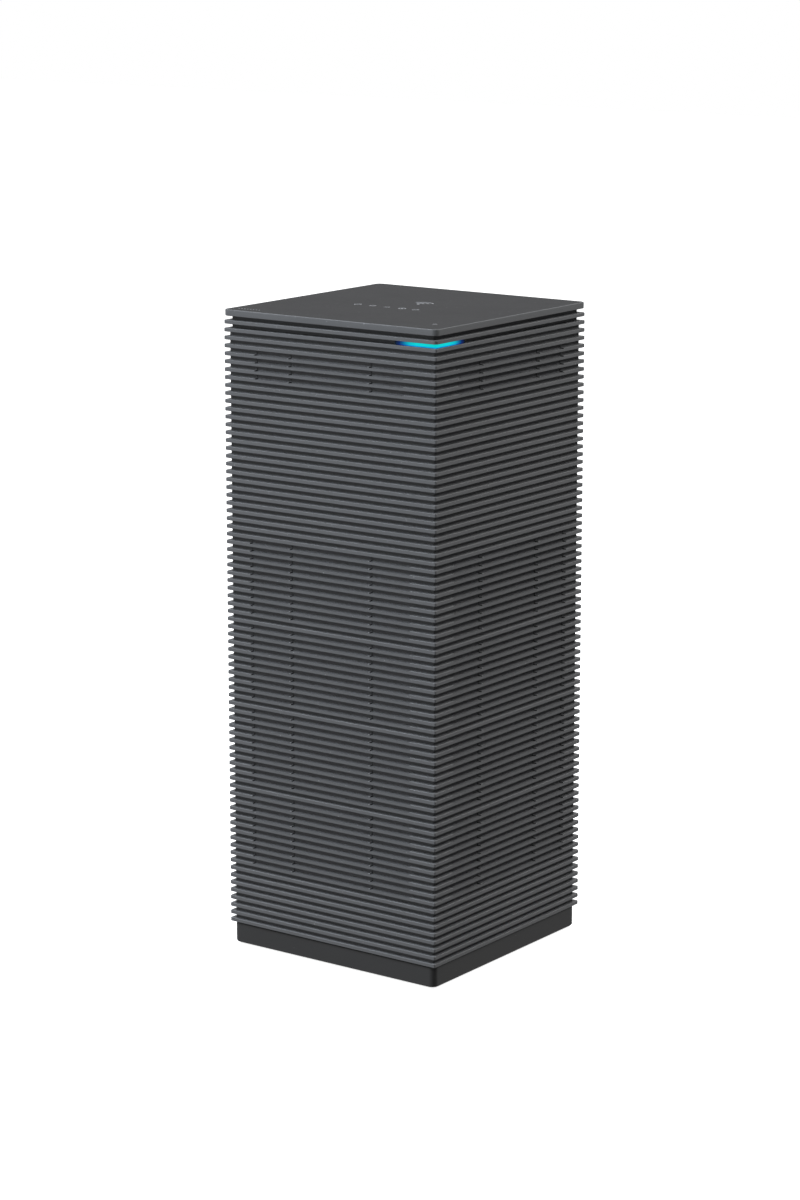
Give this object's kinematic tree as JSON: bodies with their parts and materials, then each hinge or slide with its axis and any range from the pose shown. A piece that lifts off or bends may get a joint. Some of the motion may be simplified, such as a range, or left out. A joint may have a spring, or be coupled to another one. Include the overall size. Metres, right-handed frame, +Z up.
{
  "type": "mesh wifi node",
  "caption": "Square ribbed desktop tower for a home wireless network, with a corner status light and sockets and buttons low on the back.",
  "frame": {"origin": "centre of the underside, on the surface the node stands on", "axes": "+Z up along the tower, +Y out of the back panel, the front faces -Y"},
  "size_m": [0.075, 0.075, 0.19],
  "materials": {
    "casing": "matt moulded, faintly flecked",
    "plinth": "smooth matt",
    "panel": "fine texture",
    "light": "translucent, lit",
    "rubber": "matt",
    "frame": "matt moulded",
    "board": "solder mask",
    "chip": "matt moulded",
    "shield": "satin tinned",
    "aluminium": "extruded",
    "steel": "plated",
    "pad": "soft matt",
    "socket": "matt moulded",
    "button": "satin moulded",
    "brass": "plated brass",
    "lead": "satin jacket",
    "ribbon": "satin film",
    "led": "clear dome"
  },
  "bodies": {
    "casing": {"antenna_1": "brass", "antenna_2": "brass", "antenna_3": "brass", "antenna_4": "brass", "antenna_lead_1": "lead", "antenna_lead_2": "lead", "antenna_lead_3": "lead", "antenna_lead_4": "lead", "ballast_plate": "steel", "base_plinth": "plinth", "base_screw_1": "steel", "base_screw_2": "steel", "base_screw_3": "steel", "base_screw_4": "steel", "board_screw_1": "steel", "board_screw_2": "steel", "board_screw_3": "steel", "board_screw_4": "steel", "casing_sleeve": "casing", "chassis": "frame", "dc_jack": "socket", "dc_pin": "brass", "foot_pad": "rubber", "heat_sink": "aluminium", "lan_port_1": "socket", "lan_port_2": "socket", "lan_transformer": "chip", "led_board": "board", "light_pipe": "light", "main_board": "board", "memory_chip": "chip", "power_switch": "chip", "processor_chip": "chip", "processor_thermal_pad": "pad", "radio_thermal_pad": "pad", "rear_panel": "panel", "reset_switch": "chip", "ribbon_cable": "ribbon", "shield_can_lower": "shield", "shield_can_upper": "shield", "sink_screw_1": "steel", "sink_screw_2": "steel", "status_led_1": "led", "status_led_2": "led", "status_led_3": "led", "supply_capacitor": "shield", "supply_inductor": "chip", "sync_switch": "chip", "top_cap": "casing", "top_plate": "casing", "wan_port": "socket"},
    "power_button": {"power_button": "button"},
    "sync_button": {"sync_button": "button"},
    "reset_button": {"reset_button": "button"}
  },
  "joints": [
    {"name": "power_press", "type": "slide", "parent": "casing", "child": "power_button", "axis": [0, -1, 0], "range_m": [0, 0.001], "stiffness_N_per_m": 1500},
    {"name": "sync_press", "type": "slide", "parent": "casing", "child": "sync_button", "axis": [0, -1, 0], "range_m": [0, 0.0006], "stiffness_N_per_m": 1800},
    {"name": "reset_press", "type": "slide", "parent": "casing", "child": "reset_button", "axis": [0, -1, 0], "range_m": [0, 0.0004], "stiffness_N_per_m": 2000}
  ]
}
